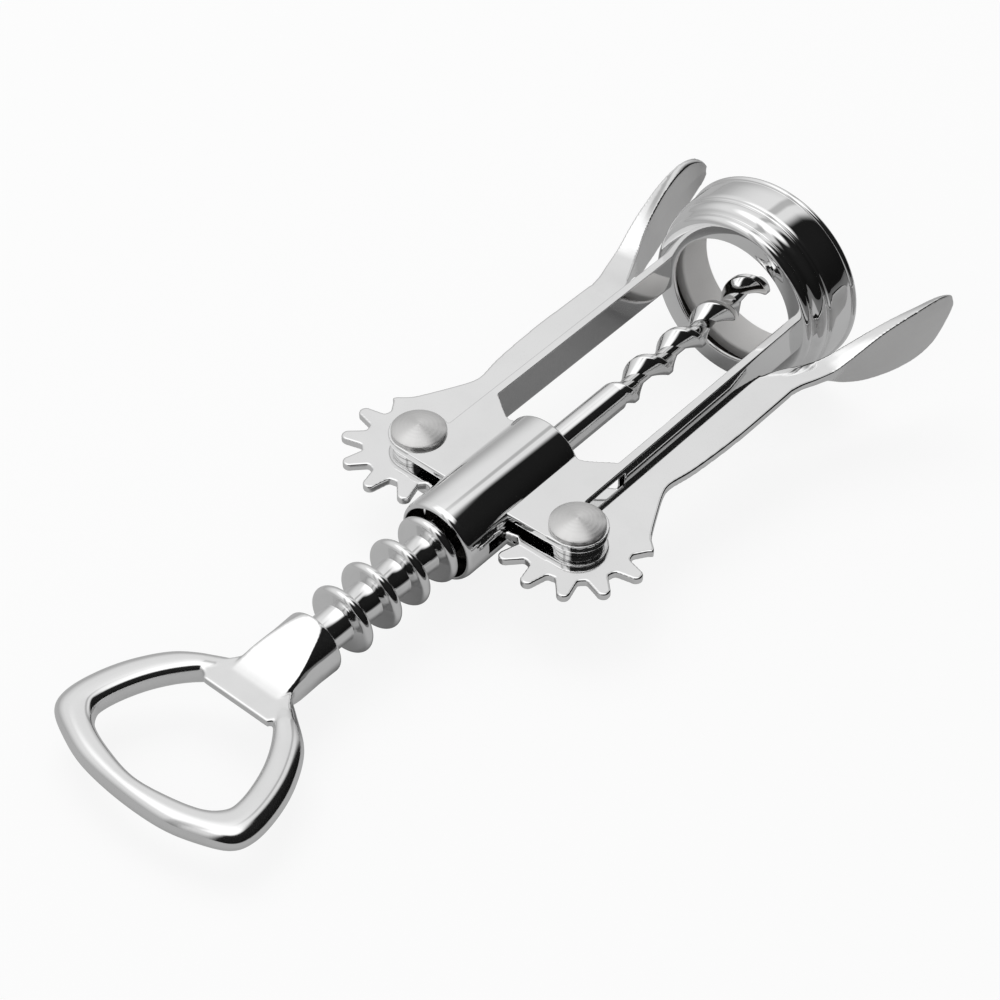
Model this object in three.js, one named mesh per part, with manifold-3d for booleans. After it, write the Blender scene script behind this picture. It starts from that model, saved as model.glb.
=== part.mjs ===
// Lever corkscrew lying flat, in millimetres: +Z up, +Y from the opener handle to the bottle collar,
// +X towards the right lever. Shapes are drawn about the worm's axis, with the rivets on y = 0, and the
// whole is moved at the end.
import * as THREE from "three";
import { mergeVertices } from "three/addons/utils/BufferGeometryUtils.js";
import Module from "manifold-3d";

const wasm = await Module();
wasm.setup();

// Driving sizes
const COLLAR_R = 18; // outer radius of the collar's rim
const COLLAR_NEAR_Y = 60.9; // flat face the arms end on
const COLLAR_LEN = 11.7;
const HOLE_R = 12; // hole through the collar's flat face
const LINER_R = 13; // inside the liner
const BARREL_WALL = 0.85;
const BARREL_Y0 = -14.5;
const BARREL_Y1 = 12;
const RING_PITCH = 6.36; // rings of the rack
const RING_RISE = 2.75; // rings above the rack's core
const RING_W = 1.9;
const RINGS = 7;
const RACK_WALL = 0.53;
const SHANK_R = 2.45; // worm's plain shank
const WORM_R = 2.95;
const WORM_CORE_R = 1.3;
const WORM_PITCH = 9.05;
const WORM_Y0 = 29.4; // where the thread starts
const WORM_Y1 = 69;
const WORM_TURN = -0.24; // how far round the thread starts, in turns
const TEETH = 12; // in a whole turn of a lever
const ADDENDUM = 0.553; // tooth tips outside the pitch circle
const TOOTH_RISE = 3.5;
const LEVER_T = 1.4; // lever sheet
const EAR_T = 1.35; // ear plates
const WASHER_T = 1.25;
const CLEAR = 0.05; // each side of a washer
const ARM_X = 12.4; // inner face of the frame's arms
const ARM_T = 1.5;
const RIVET_R = 1.9; // rivet shank
const RIVET_HEAD_R = 4.5;
const EAR_END_R = 4.95;
const HANDLE_SPIN = THREE.MathUtils.degToRad(0.7); // handle's turn about the axis as it lies
const LOOP_LEAN = THREE.MathUtils.degToRad(-1.7); // opener loop's lean to the left
const LOOP_T = 4.2; // opener loop, thinned to the lip's faces near the neck
const LIP_T = 1.3;
const LIP_TOP = 1.7;
const RIGHT_TURN = THREE.MathUtils.degToRad(-1.1); // each lever's turn about its rivet as it lies
const LEFT_TURN = THREE.MathUtils.degToRad(-0.35);
const LEAF_LEAN = 0.02; // finger leaves' lean inwards, across for each mm along
const LEFT_LONGER = 2.6; // left leaf's extra reach
const NECK_GAP = 5.7; // first ring to the handle's shoulder, which meets the rack
const TURN_GAP = 0.12; // shank in the rack
const MESH_GAP = 0.34; // tooth tips to the rack's core
const SLIDE_GAP = 0.4; // rings in the barrel

// What fits takes its size from the same values
const EAR_Z0 = LEVER_T / 2 + CLEAR + WASHER_T + CLEAR;
const EAR_Z1 = EAR_Z0 + EAR_T;
const RACK_BORE_R = SHANK_R + TURN_GAP;
const CORE_R = RACK_BORE_R + RACK_WALL;
const RING_R = CORE_R + RING_RISE;
const BORE_R = RING_R + SLIDE_GAP;
const BARREL_R = BORE_R + BARREL_WALL;
const TOOTH_STEP = (2 * Math.PI) / TEETH;
const GEAR_TIP_R = RING_PITCH / TOOTH_STEP + ADDENDUM;
const GEAR_ROOT_R = GEAR_TIP_R - TOOTH_RISE;
const PIVOT_X = CORE_R + MESH_GAP + GEAR_TIP_R; // rivets, either side of the worm's axis
const RING_Y0 = -(RINGS - 1.5) * RING_PITCH - 0.32; // first ring, by the handle
const RACK_Y1 = RING_Y0 + (RINGS - 1) * RING_PITCH + 2.6;
const NECK_Y = RING_Y0 - NECK_GAP;
const SHOULDER = -41; // the handle's shoulder in its own drawing
const LEAN_Y = 46; // where the neck starts to lean, before the shoulder's side
const COLLAR_Y1 = COLLAR_NEAR_Y + COLLAR_LEN;
const SLOT_Y = Math.sqrt(GEAR_TIP_R ** 2 - (PIVOT_X - BARREL_R) ** 2) + 1.2;

const chrome = new THREE.MeshStandardMaterial({ color: 0xd8dadd, metalness: 1, roughness: 0.08 });
const satin = new THREE.MeshStandardMaterial({ color: 0xb9bab8, metalness: 1, roughness: 0.3 });
const liner = new THREE.MeshStandardMaterial({ color: 0xa9aaa5, metalness: 0, roughness: 0.5 });

function solid(geometry) {
  const g = geometry.clone();
  g.deleteAttribute("normal");
  g.deleteAttribute("uv");
  const m = mergeVertices(g, 1e-4);
  const vertProperties = new Float32Array(m.attributes.position.array);
  const triVerts = new Uint32Array(m.index.array);
  return new wasm.Manifold(new wasm.Mesh({ numProp: 3, vertProperties, triVerts }));
}

function geometryOf(manifold) {
  const m = manifold.getMesh();
  const n = m.numProp;
  const v = new Float32Array(m.numVert * 3);
  for (let i = 0; i < m.numVert; i++) v.set(m.vertProperties.subarray(i * n, i * n + 3), i * 3);
  const g = new THREE.BufferGeometry();
  g.setAttribute("position", new THREE.BufferAttribute(v, 3));
  g.setIndex(new THREE.BufferAttribute(new Uint32Array(m.triVerts), 1));
  const flat = g.toNonIndexed();
  flat.computeVertexNormals();
  return flat;
}

// Outline in the XY plane as a plate between z0 and z1, its long edges eased by `ease`.
function plate(points, z0, z1, ease, hole) {
  const shape = new THREE.Shape(points.map(([x, y]) => new THREE.Vector2(x, y)));
  if (hole) shape.holes.push(new THREE.Path().absarc(hole[0], hole[1], hole[2], 0, Math.PI * 2, true));
  const g = new THREE.ExtrudeGeometry(shape, {
    depth: z1 - z0 - 2 * ease,
    bevelEnabled: ease > 0,
    bevelThickness: ease,
    bevelSize: ease,
    bevelOffset: -ease,
    bevelSegments: 1,
    curveSegments: 7,
  });
  return g.translate(0, 0, z0 + ease);
}

// A body of revolution about Y from [radius, y] pairs, run counter-clockwise seen with y up.
function turned(profile, segments = 40) {
  return new THREE.LatheGeometry(profile.map(([r, y]) => new THREE.Vector2(r, y)), segments);
}

// Quarter round from angle a0 to a1 (degrees) about a centre, for a turned profile.
function round(cx, cy, r, a0, a1, steps = 4) {
  const out = [];
  for (let i = 0; i <= steps; i++) {
    const a = THREE.MathUtils.degToRad(a0 + ((a1 - a0) * i) / steps);
    out.push([cx + r * Math.cos(a), cy + r * Math.sin(a)]);
  }
  return out;
}

// Closed skin over rings of points, each ring the same count; the ends are fanned, or joined if looped.
function skin(rings, looped = false) {
  const n = rings[0].length;
  const v = rings.flat(2);
  const tri = [];
  const last = looped ? rings.length : rings.length - 1;
  for (let i = 0; i < last; i++) {
    const a = i * n;
    const b = ((i + 1) % rings.length) * n;
    for (let j = 0; j < n; j++) {
      const k = (j + 1) % n;
      tri.push(a + j, b + k, b + j, a + j, a + k, b + k);
    }
  }
  if (!looped) {
    for (const [ring, turn] of [[0, 1], [rings.length - 1, -1]]) {
      const c = v.length / 3;
      for (let q = 0; q < 3; q++) v.push(rings[ring].reduce((s, p) => s + p[q], 0) / n);
      for (let j = 0; j < n; j++) {
        const [p, r] = turn > 0 ? [j, (j + 1) % n] : [(j + 1) % n, j];
        tri.push(c, ring * n + r, ring * n + p);
      }
    }
  }
  const g = new THREE.BufferGeometry();
  g.setAttribute("position", new THREE.Float32BufferAttribute(v, 3));
  g.setIndex(tri);
  return g;
}

function outward(geometry) {
  if (solid(geometry).volume() > 0) return geometry;
  const i = geometry.index.array;
  for (let k = 0; k < i.length; k += 3) [i[k + 1], i[k + 2]] = [i[k + 2], i[k + 1]];
  return geometry;
}

function mirrored(geometry) {
  const g = geometry.clone().scale(-1, 1, 1);
  return outward(g.index ? g : mergeVertices(g, 1e-4));
}

// Outline of one ear plate, right side: from the barrel round the rivet and back.
function earOutline() {
  const start = [BORE_R - 0.65, -5.19];
  const dx = start[0] - PIVOT_X;
  const dy = start[1];
  const tangent = Math.atan2(dy, dx) + Math.acos(EAR_END_R / Math.hypot(dx, dy));
  const armOut = ARM_X + ARM_T - PIVOT_X;
  const last = Math.acos(armOut / EAR_END_R);
  const pts = [start];
  for (let i = 0; i <= 20; i++) {
    const a = tangent + ((last - tangent) * i) / 20;
    pts.push([PIVOT_X + EAR_END_R * Math.cos(a), EAR_END_R * Math.sin(a)]);
  }
  pts.push([ARM_X + ARM_T, 17], [ARM_X, 17], [ARM_X, 14.8]);
  pts.push([BARREL_R + 1.6, BARREL_Y1 + 0.1], [BARREL_R + 0.4, BARREL_Y1 - 0.5]);
  pts.push([BARREL_R - 0.5, BARREL_Y1 - 0.7], [BORE_R - 0.65, BARREL_Y1 - 0.2]);
  return pts;
}

function frameBody() {
  const e = 0.55;
  const barrel = solid(turned([
    [0, BARREL_Y0],
    ...round(BARREL_R - e, BARREL_Y0 + e, e, -90, 0),
    ...round(BARREL_R - e, BARREL_Y1 - e, e, 0, 90),
    [0, BARREL_Y1],
  ]));
  let body = barrel;
  const ear = plate(earOutline(), EAR_Z0, EAR_Z1, 0.2, [PIVOT_X, 0, RIVET_R + 0.1]);
  const arm = plate(
    [[ARM_X, 14.7], [ARM_X + ARM_T, 14.7], [ARM_X + ARM_T, COLLAR_NEAR_Y], [ARM_X, COLLAR_NEAR_Y]],
    -EAR_Z1, EAR_Z1, 0);
  for (const g of [ear, ear.clone().translate(0, 0, -EAR_Z0 - EAR_Z1), arm]) {
    for (const turn of [0, Math.PI]) body = body.add(solid(g.clone().rotateY(turn)));
  }
  const bore = solid(turned([
    [0, BARREL_Y0 - 1], [BORE_R, BARREL_Y0 - 1], [BORE_R, BARREL_Y1 + 1], [0, BARREL_Y1 + 1],
  ]));
  body = body.subtract(bore);
  const slot = new THREE.BoxGeometry(6, 2 * SLOT_Y, LEVER_T + 0.9);
  body = body.subtract(solid(slot.clone().translate(BARREL_R, 0, 0)));
  body = body.subtract(solid(slot.translate(-BARREL_R, 0, 0)));
  return geometryOf(body);
}

function collar() {
  const y = COLLAR_NEAR_Y;
  const k = COLLAR_R / 18;
  const profile = [
    [HOLE_R, y + 0.35], [HOLE_R + 0.35, y], [15 * k, y],
    ...round(15 * k, y + 1, 1, -60, 0, 3),
    [15.95 * k, y + 1.6], [16.35 * k, y + 2], [16.85 * k, y + 2.8], [17.05 * k, y + 3.8], [17 * k, y + 4.5],
    [17.35 * k, y + 4.9], [17.5 * k, y + 5.7], [17.65 * k, y + COLLAR_LEN - 1.3],
    [17.62 * k, y + COLLAR_LEN - 1.05], [17.95 * k, y + COLLAR_LEN - 0.8], [COLLAR_R, y + COLLAR_LEN - 0.4],
    [17.8 * k, y + COLLAR_LEN], [16.3 * k, y + COLLAR_LEN], [15.9 * k, y + COLLAR_LEN - 0.4],
    [15.9 * k, y + 4], [14.7 * k, y + 3.8], [14.7 * k, y + 1.5],
    [HOLE_R + 1.4, y + 1.5], [HOLE_R, y + 0.9], [HOLE_R, y + 0.35],
  ];
  return geometryOf(solid(turned(profile, 48)));
}

function collarLiner() {
  const y = COLLAR_NEAR_Y + 4.05;
  const k = COLLAR_R / 18;
  return turned([
    [LINER_R + 0.35, y], [15.75 * k, y], [15.75 * k, COLLAR_Y1 - 0.7], [LINER_R + 0.35, COLLAR_Y1 - 0.7],
    [LINER_R, COLLAR_Y1 - 1], [LINER_R, y + 0.3], [LINER_R + 0.35, y],
  ], 48);
}

function rack() {
  const p = [[RACK_BORE_R, NECK_Y], [CORE_R, NECK_Y]];
  const h = RING_W / 2;
  for (let i = 0; i < RINGS; i++) {
    const y = RING_Y0 + i * RING_PITCH;
    const rim = RING_R - 0.75;
    const crown = round(rim, y, h, -60, 60, 3).map(([r, q]) => [rim + (r - rim) * (0.75 / h), q]);
    p.push([CORE_R, y - h], [rim, y - h], ...crown, [rim, y + h], [CORE_R, y + h]);
  }
  p.push([CORE_R, RACK_Y1 - 0.5], [CORE_R - 0.5, RACK_Y1], [RACK_BORE_R, RACK_Y1], [RACK_BORE_R, NECK_Y]);
  return turned(p, 24);
}

// Keeps the rack between itself and the handle's neck.
function retainingRing() {
  const y = RACK_Y1 + 0.1;
  const inner = RACK_BORE_R;
  const outer = CORE_R - 0.1;
  return turned([
    [inner, y], [outer, y], [outer, y + 1.6], [outer - 0.4, y + 2], [inner, y + 2], [inner, y],
  ], 24);
}

// Plain shank, then a right-handed thread: a narrow land on wide flanks round a thin core.
function worm() {
  const cols = 16;
  const step = WORM_PITCH / cols;
  const rows = Math.round((WORM_Y1 - WORM_Y0) / step);
  const thread = (phase) => {
    const d = Math.abs(phase - 0.5) * WORM_PITCH;
    const f = THREE.MathUtils.clamp((d - 0.55) / 2.9, 0, 1);
    return WORM_R + (WORM_CORE_R - WORM_R) * f * (1.25 - 0.25 * f);
  };
  const ring = (y, r) => {
    const out = [];
    for (let j = 0; j < cols; j++) {
      const a = (-2 * Math.PI * j) / cols;
      out.push([r(j) * Math.cos(a), y, r(j) * Math.sin(a)]);
    }
    return out;
  };
  const rings = [ring(NECK_Y - 6, () => SHANK_R), ring(WORM_Y0 - 0.01, () => SHANK_R)];
  const end = rows * step;
  for (let i = 0; i <= rows; i++) {
    const y = i * step;
    const start = THREE.MathUtils.clamp(y / 1.5, 0, 1);
    const tail = THREE.MathUtils.clamp((end - y - 0.6) / 7, 0, 1);
    rings.push(ring(WORM_Y0 + y, (j) => {
      const phase = (((i - j) / cols + 0.5 + WORM_TURN) % 1 + 1) % 1;
      const full = thread(phase);
      const depth = (WORM_R - 0.45 - (WORM_CORE_R - 0.45) * tail) / (WORM_R - WORM_CORE_R);
      const lean = WORM_R - (WORM_R - full) * depth;
      return SHANK_R + (lean - SHANK_R) * start;
    }));
  }
  return outward(skin(rings));
}

// The opener's loop as a skin over paired points of its outer and inner edge.
function openerLoop() {
  const half = [
    [0, -80.3, 0, -76.8], [7.9, -79.8, 6.3, -75.8], [13.6, -78.2, 11.2, -74.2], [18.2, -75.9, 13.4, -72.1],
    [19.6, -72.6, 13.7, -70.0], [19.0, -67.6, 12.9, -66.5], [17.0, -62.2, 11.4, -62.8], [13.5, -57, 9.2, -59.3],
    [8.6, -53.5, 6.6, -56.5], [4.5, -51.2, 3.6, -54.8], [0, -50.6, 0, -54.4],
  ];
  const all = [...half, ...half.slice(1, -1).reverse().map(([a, b, c, d]) => [-a, b, -c, d])];
  const outer = new THREE.CatmullRomCurve3(all.map(([a, b]) => new THREE.Vector3(a, b, 0)), true);
  const inner = new THREE.CatmullRomCurve3(all.map(([, , c, d]) => new THREE.Vector3(c, d, 0)), true);
  const rings = [];
  const n = 60;
  for (let i = 0; i < n; i++) {
    const o = outer.getPoint(i / n);
    const q = inner.getPoint(i / n);
    const nearNeck = THREE.MathUtils.smoothstep((o.y + q.y) / 2, -64, -57);
    const high = LOOP_T / 2 + (LIP_TOP - LOOP_T / 2) * nearNeck;
    const ring = [];
    for (let j = 0; j < 12; j++) {
      const a = (2 * Math.PI * j) / 12;
      const c = Math.sign(Math.cos(a)) * Math.abs(Math.cos(a)) ** 0.85;
      const s = Math.sign(Math.sin(a)) * Math.abs(Math.sin(a)) ** 0.85;
      ring.push([(o.x + q.x) / 2 + ((o.x - q.x) / 2) * c, (o.y + q.y) / 2 + ((o.y - q.y) / 2) * c, high * s]);
    }
    rings.push(ring);
  }
  return outward(skin(rings, true)).translate(0, LEAN_Y, 0).rotateZ(LOOP_LEAN).translate(0, -LEAN_Y, 0);
}

function handle() {
  let body = solid(openerLoop());
  const lip = [[-7.9, -57], [-6.7, -57.2], [-6.3, -57.9], [6.3, -57.9], [6.7, -57.2], [7.9, -57],
    [8.2, -54.5], [5, -51], [5, -46], [-5, -46], [-5, -51], [-8.2, -54.5]];
  body = body.add(solid(plate(lip, LIP_TOP - LIP_T, LIP_TOP, 0.2)));
  const boss = [[0, -54], [5.0, -54], [5.3, -50], ...round(4.9, SHOULDER - 0.4, 0.4, 0, 90), [0, SHOULDER]];
  let neck = solid(turned(boss, 36));
  const wedge = new THREE.Shape([
    new THREE.Vector2(-55, -1.7), new THREE.Vector2(-50.5, -2), new THREE.Vector2(-42.5, -4.75),
    new THREE.Vector2(-40, -6), new THREE.Vector2(-40, 6), new THREE.Vector2(-42.5, 4.75),
    new THREE.Vector2(-50.5, 2), new THREE.Vector2(-55, 1.7),
  ]);
  const side = new THREE.ExtrudeGeometry(wedge, { depth: 16, bevelEnabled: false }).translate(0, 0, -8);
  side.applyMatrix4(new THREE.Matrix4().makeBasis(
    new THREE.Vector3(0, 1, 0), new THREE.Vector3(0, 0, 1), new THREE.Vector3(1, 0, 0)));
  neck = neck.intersect(solid(side));
  body = body.add(neck);
  const s = SHANK_R + 0.1;
  const socket = turned([[0, SHOULDER - 6.2], [s, SHOULDER - 6.2], [s, SHOULDER + 1], [0, SHOULDER + 1]], 24);
  return geometryOf(body.subtract(solid(socket))).rotateY(HANDLE_SPIN).translate(0, NECK_Y - SHOULDER, 0);
}

// Gear end and flat arm of the right lever, drawn about the rivet.
function leverOutline() {
  const pts = [];
  const tooth = (a) => {
    const rootHalf = 0.19;
    const root = GEAR_ROOT_R;
    const w = 1.12; // half width of the rounded tip
    const at = (u, s) => [u * Math.cos(a) - s * Math.sin(a), u * Math.sin(a) + s * Math.cos(a)];
    const out = [[root * Math.cos(a + rootHalf), root * Math.sin(a + rootHalf)]];
    for (let i = 0; i <= 6; i++) {
      const q = Math.PI / 2 - (Math.PI * i) / 6;
      out.push(at(GEAR_TIP_R - w + w * Math.cos(q), w * Math.sin(q)));
    }
    out.push([root * Math.cos(a - rootHalf), root * Math.sin(a - rootHalf)]);
    return out;
  };
  pts.push([GEAR_ROOT_R + 1.5, 5.4], [GEAR_ROOT_R + 0.9, 4.95], [GEAR_ROOT_R - 0.45, 2.85]);
  for (let i = 0; i <= 6; i++) pts.push(...tooth(-i * TOOTH_STEP));
  const inner = ARM_X + ARM_T + 0.4 - PIVOT_X;
  const back = Math.acos(-inner / GEAR_ROOT_R) - 0.14;
  for (let i = 0; i <= 5; i++) {
    const a = -Math.PI - 0.28 - (i * (back - 0.28)) / 5;
    pts.push([GEAR_ROOT_R * Math.cos(a), GEAR_ROOT_R * Math.sin(a)]);
  }
  pts.push([inner, GEAR_ROOT_R + 0.4], [inner, 48], [4.5, 48], [4.6, 41], [4.6, 33], [4.1, 24], [3.4, 19.5]);
  pts.push([3.4, 17.7], [4.1, 15.7], [5.8, 12.35], [7.5, 9.2]);
  pts.push([GEAR_ROOT_R - 0.6, 7.1], [GEAR_ROOT_R + 1, 6.1]);
  return pts.reverse();
}

// Right lever's finger leaf, a row each: y, then x and z of the outer top edge and of the inner top edge,
// then the bottom's inner x, outer x and z.
const LEAF = [
  [47.6, 20.4, 0.7, 14.3, 0.7, 14.3, 20.4, -0.7],
  [51, 21.0, 0.65, 15.4, 0.7, 15.5, 20.9, -0.8],
  [54, 22.1, 0.6, 17.1, 0.5, 17.2, 21.7, -1.2],
  [57, 23.15, 0.7, 18.8, 0.5, 18.5, 21.8, -2.3],
  [59.5, 23.9, 1.35, 20.1, 1.05, 19.5, 21.4, -4.2],
  [62, 24.6, 2.3, 21.3, 2.0, 20.9, 22.3, -5.6],
  [65, 25.35, 3.35, 22.6, 3.0, 22.4, 23.8, -6.4],
  [68, 26.05, 4.1, 23.7, 3.7, 23.6, 24.95, -6.85],
  [71, 26.8, 4.6, 24.75, 4.2, 24.8, 26.0, -7.0],
  [74, 27.45, 4.85, 25.7, 4.4, 25.8, 26.9, -6.9],
  [77, 27.95, 4.95, 26.5, 4.4, 26.6, 27.6, -6.5],
  [80, 28.3, 4.7, 27.1, 4.1, 27.1, 28.05, -5.5],
  [82.5, 28.35, 3.8, 27.35, 3.2, 27.3, 28.1, -3.9],
  [84.3, 28.1, 2.4, 27.3, 2.0, 27.25, 27.9, -2.3],
  [85.3, 27.75, 0.9, 27.3, 0.7, 27.3, 27.65, -0.9],
];

function lever(turn, longer) {
  const flat = plate(leverOutline(), -LEVER_T / 2, LEVER_T / 2, 0.22, [0, 0, RIVET_R + 0.15]);
  const rings = LEAF.map((row, i) => {
    const along = Math.max(0, row[0] - 50);
    const lean = (LEAF_LEAN + 0.01 * longer) * along;
    const y = row[0] + (longer * along) / 35;
    const [ox, ix, bi, bo] = [row[1], row[3], row[5], row[6]].map((x) => x - lean);
    const [oz, iz, bz] = [row[2], row[4], row[7]];
    const swell = Math.min(1, i / 5) * 0.5;
    return [
      [ox, y, oz], [(ox + bo) / 2 + swell, y, (oz + bz) / 2], [bo, y, bz + 0.15], [(bi + bo) / 2, y, bz],
      [bi, y, bz + 0.15], [(ix + bi) / 2 + swell * 0.3, y, (iz + bz) / 2], [ix, y, iz],
      [(ix + ox) / 2, y, (iz + oz) / 2 + 0.05],
    ];
  });
  const leaf = outward(skin(rings)).translate(-PIVOT_X, 0, 0);
  return geometryOf(solid(flat).add(solid(leaf))).rotateZ(turn).translate(PIVOT_X, 0, 0);
}

function washer(side, z) {
  const r = RIVET_HEAD_R - 0.2;
  const q = RIVET_R + 0.15;
  return turned([[q, 0], [r, 0], [r, WASHER_T], [q, WASHER_T], [q, 0]], 28)
    .rotateX(Math.PI / 2).translate(side * PIVOT_X, 0, z);
}

function rivet(side) {
  const r = RIVET_HEAD_R;
  const head = [[r, 0], [r, 0.45], [r - 0.35, 0.75], [2.4, 1.3], [0.6, 1.62], [0, 1.65]];
  const top = head.map(([r, h]) => [r, EAR_Z1 + h]);
  const bottom = head.map(([r, h]) => [r, -EAR_Z1 - h]).reverse();
  return turned([...bottom, [RIVET_R, -EAR_Z1], [RIVET_R, EAR_Z1], ...top], 32)
    .rotateX(Math.PI / 2).translate(side * PIVOT_X, 0, 0);
}

const part = new THREE.Group();
function addNode(name, geometry, material) {
  const mesh = new THREE.Mesh(geometry, material);
  mesh.name = name;
  part.add(mesh);
}

addNode("frame_body", frameBody(), chrome);
addNode("collar", collar(), chrome);
addNode("collar_liner", collarLiner(), liner);
addNode("rack", rack(), chrome);
addNode("retaining_ring", retainingRing(), chrome);
addNode("worm", worm(), chrome);
addNode("handle", handle(), chrome);
addNode("right_lever", lever(RIGHT_TURN, 0), satin);
addNode("left_lever", mirrored(lever(-LEFT_TURN, LEFT_LONGER)), satin);
for (const [name, side] of [["right", 1], ["left", -1]]) {
  addNode(name + "_rivet", rivet(side), satin);
  addNode(name + "_front_washer", washer(side, LEVER_T / 2 + CLEAR), chrome);
  addNode(name + "_back_washer", washer(side, -LEVER_T / 2 - CLEAR - WASHER_T), chrome);
}

// The origin goes under the middle of the whole object.
const extent = new THREE.Box3().setFromObject(part);
const middle = extent.getCenter(new THREE.Vector3());
part.position.set(-middle.x, -middle.y, -extent.min.z);

export default part;
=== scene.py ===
"""A lever corkscrew in polished and semi-matt chrome, lying on a pale floor under soft studio light."""

import math

import bmesh
import bpy
from mathutils import Matrix, Vector


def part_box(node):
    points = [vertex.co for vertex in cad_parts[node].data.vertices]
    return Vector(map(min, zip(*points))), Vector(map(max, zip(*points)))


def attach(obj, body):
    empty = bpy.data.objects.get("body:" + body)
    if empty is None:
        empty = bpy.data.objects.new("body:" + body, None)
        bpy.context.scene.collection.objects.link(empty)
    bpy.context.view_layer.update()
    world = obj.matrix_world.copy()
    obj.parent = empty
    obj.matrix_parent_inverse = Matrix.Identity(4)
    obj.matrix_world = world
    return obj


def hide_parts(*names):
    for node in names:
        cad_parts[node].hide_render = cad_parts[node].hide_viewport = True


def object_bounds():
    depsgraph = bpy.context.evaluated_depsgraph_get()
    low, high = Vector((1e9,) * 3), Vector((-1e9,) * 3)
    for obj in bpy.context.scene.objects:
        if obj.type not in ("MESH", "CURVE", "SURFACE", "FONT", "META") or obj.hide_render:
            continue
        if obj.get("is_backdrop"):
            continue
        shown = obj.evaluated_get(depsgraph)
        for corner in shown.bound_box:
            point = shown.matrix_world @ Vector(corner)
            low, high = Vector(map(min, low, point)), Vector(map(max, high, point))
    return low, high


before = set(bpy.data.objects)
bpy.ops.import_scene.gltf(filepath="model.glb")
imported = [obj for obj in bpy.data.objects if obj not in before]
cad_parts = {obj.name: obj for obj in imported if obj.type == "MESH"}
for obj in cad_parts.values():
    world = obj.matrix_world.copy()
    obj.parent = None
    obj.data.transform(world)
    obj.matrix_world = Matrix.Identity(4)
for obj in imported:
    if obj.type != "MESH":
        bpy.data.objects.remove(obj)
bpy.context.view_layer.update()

# Pieces are drawn in millimetres about the middle of the rivets' line, with the worm's axis along Y.
MM = 1000
rim_low, rim_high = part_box("collar")
rivet_low, rivet_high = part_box("right_rivet")
far_rivet_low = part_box("left_rivet")[0]
frame_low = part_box("frame_body")[0]
ORIGIN = Vector(
    (
        (far_rivet_low.x + rivet_high.x) / 2,
        (rivet_low.y + rivet_high.y) / 2,
        (rim_low.z + rim_high.z) / 2,
    )
)
PLACE = Matrix.Translation(ORIGIN) @ Matrix.Diagonal((1 / MM, 1 / MM, 1 / MM, 1))
PIVOT_X = ((rivet_low.x + rivet_high.x) / 2 - ORIGIN.x) * MM
RIVET_HEAD_R = (rivet_high.x - rivet_low.x) / 2 * MM
RIVET_TOP = (rivet_high.z - ORIGIN.z) * MM
BARREL_Y0 = (frame_low.y - ORIGIN.y) * MM
COLLAR_Y0 = (rim_low.y - ORIGIN.y) * MM
COLLAR_Y1 = (rim_high.y - ORIGIN.y) * MM

BARREL_Y1 = 12
BARREL_R = 7.1
BORE_R = 6.25
RING_PITCH = 6.36
RING_R = 5.85
RING_ROUND = 0.9  # radius of a ring's rounded edge
RINGS = 7
CORE_R = 3.1
SHANK_R = 2.45
WORM_R = 2.95
WORM_CORE_R = 1.3
WORM_PITCH = 9.05
WORM_Y0 = 29.4
WORM_Y1 = 69
WORM_START = math.radians(-86.4)
GEAR_TIP_R = 12.7
GEAR_ROOT_R = 9.2
TEETH = 12
LEVER_T = 1.4
EAR_Z0 = 2.05
EAR_Z1 = 3.4
WASHER_T = 1.25
ARM_X = 12.4
ARM_T = 1.5
EAR_END_R = 4.95
NECK_Y = -41
HANDLE_SPIN = math.radians(0.7)
LOOP_LEAN = math.radians(-1.7)
LEAN_Y = -46
LIP_TOP = 1.7
LIP_T = 1.3
LOOP_HALF_T = 2.1
LEVER_TURN = {"right": math.radians(-1.1), "left": math.radians(-0.35)}
LEAF_LONGER = {"right": 0.0, "left": 2.6}
LEAF_LEAN = 0.02
HOLE_R = 12
LINER_R = 13
LEVER_GAP = 0.28  # levers to the arms, before each lever's turn
CASTING_VOXEL = 0.2
LEVER_VOXEL = 0.18


# ---------------------------------------------------------------- shaders


class Term:
    """One shader value, so that a pattern is written as arithmetic."""

    def __init__(self, tree, socket):
        self.tree = tree
        self.socket = socket

    def math(self, operation, *values):
        return self.tree.add("ShaderNodeMath", {"operation": operation}, values)

    def __add__(self, other):
        return self.math("ADD", self, other)

    def __radd__(self, other):
        return self.math("ADD", other, self)

    def __sub__(self, other):
        return self.math("SUBTRACT", self, other)

    def __rsub__(self, other):
        return self.math("SUBTRACT", other, self)

    def __mul__(self, other):
        return self.math("MULTIPLY", self, other)

    def __rmul__(self, other):
        return self.math("MULTIPLY", other, self)

    def __truediv__(self, other):
        return self.math("DIVIDE", self, other)

    def __pow__(self, other):
        return self.math("POWER", self, other)

    def absolute(self):
        return self.math("ABSOLUTE", self)

    def sine(self):
        return self.math("SINE", self)

    def smooth(self, low, high):
        """0 below low, 1 above high, eased between."""
        return self.tree.add(
            "ShaderNodeMapRange",
            {"interpolation_type": "SMOOTHSTEP"},
            {"Value": self, "From Min": low, "From Max": high},
        )


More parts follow.
